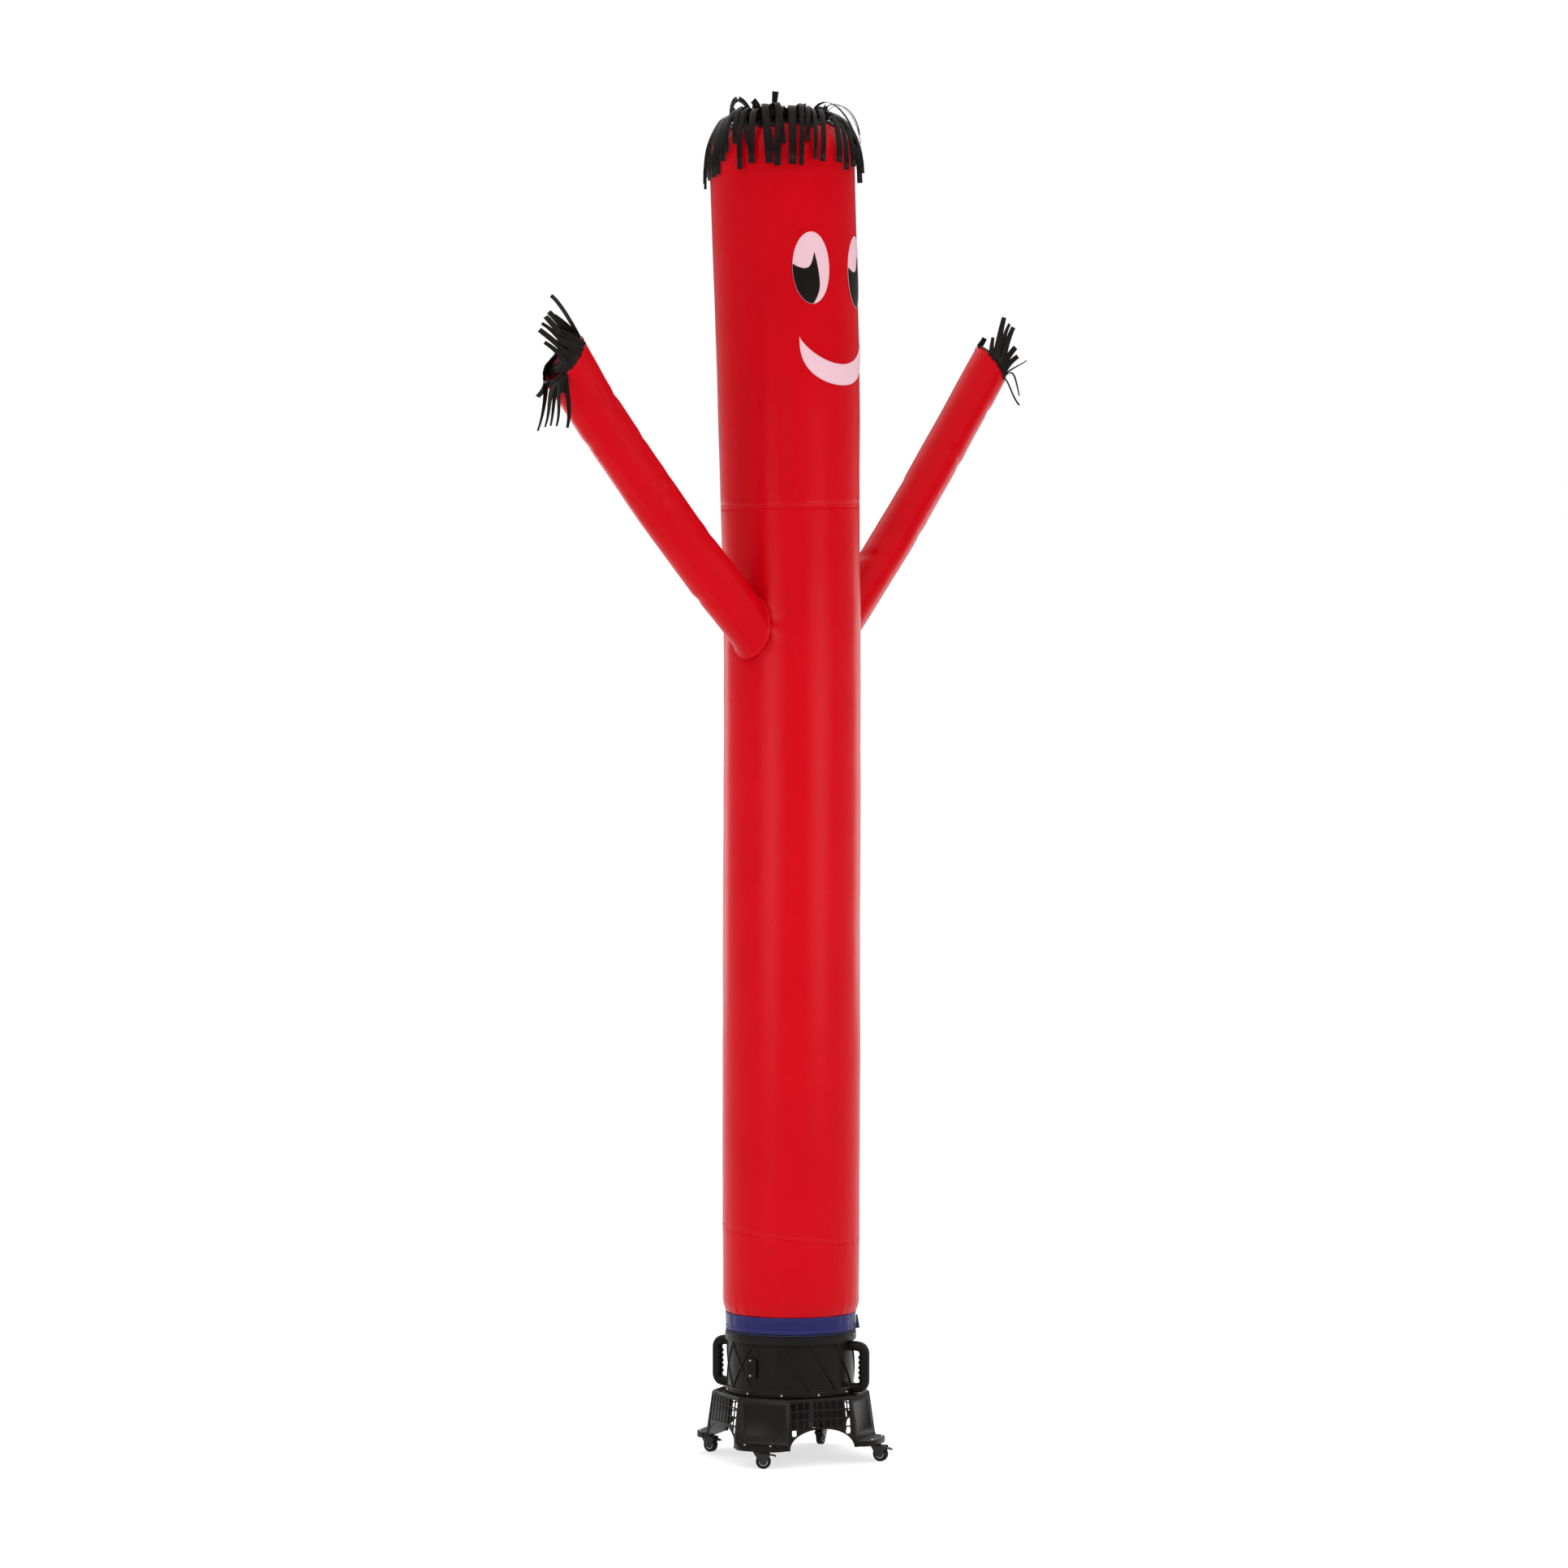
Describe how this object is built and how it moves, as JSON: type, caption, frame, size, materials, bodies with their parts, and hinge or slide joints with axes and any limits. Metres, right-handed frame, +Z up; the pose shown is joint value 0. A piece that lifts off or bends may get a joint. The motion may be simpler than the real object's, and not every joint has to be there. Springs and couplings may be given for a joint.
{
  "type": "inflatable air dancer on a fan blower",
  "caption": "Tall inflatable tube figure with two raised arms and a smiling face, strapped to a fan blower on castors.",
  "frame": {"origin": "the point on the floor under the blower's axis", "axes": "+Z up along the body; the base's sides face +X, -X, +Y and -Y; the face looks 27 degrees to the right of -Y"},
  "size_m": [2.299, 1.3637, 4.5791],
  "materials": {
    "red_nylon": "smooth woven nylon",
    "white_nylon": "smooth woven nylon",
    "black_nylon": "smooth woven nylon",
    "blue_nylon": "woven nylon",
    "navy_webbing": "webbing",
    "black_plastic": "satin moulded",
    "motor_paint": "matt paint",
    "fork_metal": "black satin",
    "tyre_rubber": "matt",
    "hub_plastic": "moulded grey"
  },
  "bodies": {
    "dancer": {"tube_lower": "red_nylon", "tube_middle": "red_nylon", "tube_head": "red_nylon", "arm_left": "red_nylon", "arm_right": "red_nylon", "eye_left": "white_nylon", "eye_right": "white_nylon", "mouth": "white_nylon", "pupil_left": "black_nylon", "pupil_right": "black_nylon", "hair_fringe": "black_nylon", "hand_fringe_left": "black_nylon", "hand_fringe_right": "black_nylon", "cuff": "blue_nylon", "strap": "navy_webbing", "outlet_ring": "black_plastic", "drum": "black_plastic", "base": "black_plastic", "handle_left": "black_plastic", "handle_right": "black_plastic", "switch_plate": "black_plastic", "fan": "black_plastic", "motor": "motor_paint", "castor_1_plate": "fork_metal", "castor_2_plate": "fork_metal", "castor_3_plate": "fork_metal", "castor_4_plate": "fork_metal"},
    "castor_1_swivel": {"castor_1_fork": "fork_metal"},
    "castor_1_wheel": {"castor_1_tyre": "tyre_rubber", "castor_1_hub": "hub_plastic"},
    "castor_1_brake": {"castor_1_pedal": "fork_metal"},
    "castor_2_swivel": {"castor_2_fork": "fork_metal"},
    "castor_2_wheel": {"castor_2_tyre": "tyre_rubber", "castor_2_hub": "hub_plastic"},
    "castor_2_brake": {"castor_2_pedal": "fork_metal"},
    "castor_3_swivel": {"castor_3_fork": "fork_metal"},
    "castor_3_wheel": {"castor_3_tyre": "tyre_rubber", "castor_3_hub": "hub_plastic"},
    "castor_3_brake": {"castor_3_pedal": "fork_metal"},
    "castor_4_swivel": {"castor_4_fork": "fork_metal"},
    "castor_4_wheel": {"castor_4_tyre": "tyre_rubber", "castor_4_hub": "hub_plastic"},
    "castor_4_brake": {"castor_4_pedal": "fork_metal"}
  },
  "joints": [
    {"name": "castor_1_turn", "type": "hinge", "parent": "dancer", "child": "castor_1_swivel", "pos_m": [-0.21567, -0.21567, 0.055], "axis": [0, 0, 1], "continuous": true},
    {"name": "castor_1_roll", "type": "hinge", "parent": "castor_1_swivel", "child": "castor_1_wheel", "pos_m": [-0.19922, -0.22299, 0.025], "axis": [0.4067, 0.9135, 0], "continuous": true},
    {"name": "castor_1_press", "type": "hinge", "parent": "castor_1_swivel", "child": "castor_1_brake", "pos_m": [-0.18187, -0.23072, 0.0462], "axis": [0.4067, 0.9135, 0], "range_deg": [0, 10]},
    {"name": "castor_2_turn", "type": "hinge", "parent": "dancer", "child": "castor_2_swivel", "pos_m": [0.21567, -0.21567, 0.055], "axis": [0, 0, 1], "continuous": true},
    {"name": "castor_2_roll", "type": "hinge", "parent": "castor_2_swivel", "child": "castor_2_wheel", "pos_m": [0.22724, -0.22946, 0.025], "axis": [0.766, 0.6428, 0], "continuous": true},
    {"name": "castor_2_press", "type": "hinge", "parent": "castor_2_swivel", "child": "castor_2_brake", "pos_m": [0.23945, -0.24401, 0.0462], "axis": [0.766, 0.6428, 0], "range_deg": [0, 10]},
    {"name": "castor_3_turn", "type": "hinge", "parent": "dancer", "child": "castor_3_swivel", "pos_m": [0.21567, 0.21567, 0.055], "axis": [0, 0, 1], "continuous": true},
    {"name": "castor_3_roll", "type": "hinge", "parent": "castor_3_swivel", "child": "castor_3_wheel", "pos_m": [0.20316, 0.20272, 0.025], "axis": [0.7193, -0.6947, 0], "continuous": true},
    {"name": "castor_3_press", "type": "hinge", "parent": "castor_3_swivel", "child": "castor_3_brake", "pos_m": [0.18996, 0.18905, 0.0462], "axis": [0.7193, -0.6947, 0], "range_deg": [0, 10]},
    {"name": "castor_4_turn", "type": "hinge", "parent": "dancer", "child": "castor_4_swivel", "pos_m": [-0.21567, 0.21567, 0.055], "axis": [0, 0, 1], "continuous": true},
    {"name": "castor_4_roll", "type": "hinge", "parent": "castor_4_swivel", "child": "castor_4_wheel", "pos_m": [-0.20778, 0.19949, 0.025], "axis": [0.8988, 0.4384, 0], "continuous": true},
    {"name": "castor_4_press", "type": "hinge", "parent": "castor_4_swivel", "child": "castor_4_brake", "pos_m": [-0.19945, 0.18241, 0.0462], "axis": [0.8988, 0.4384, 0], "range_deg": [0, 10]}
  ]
}
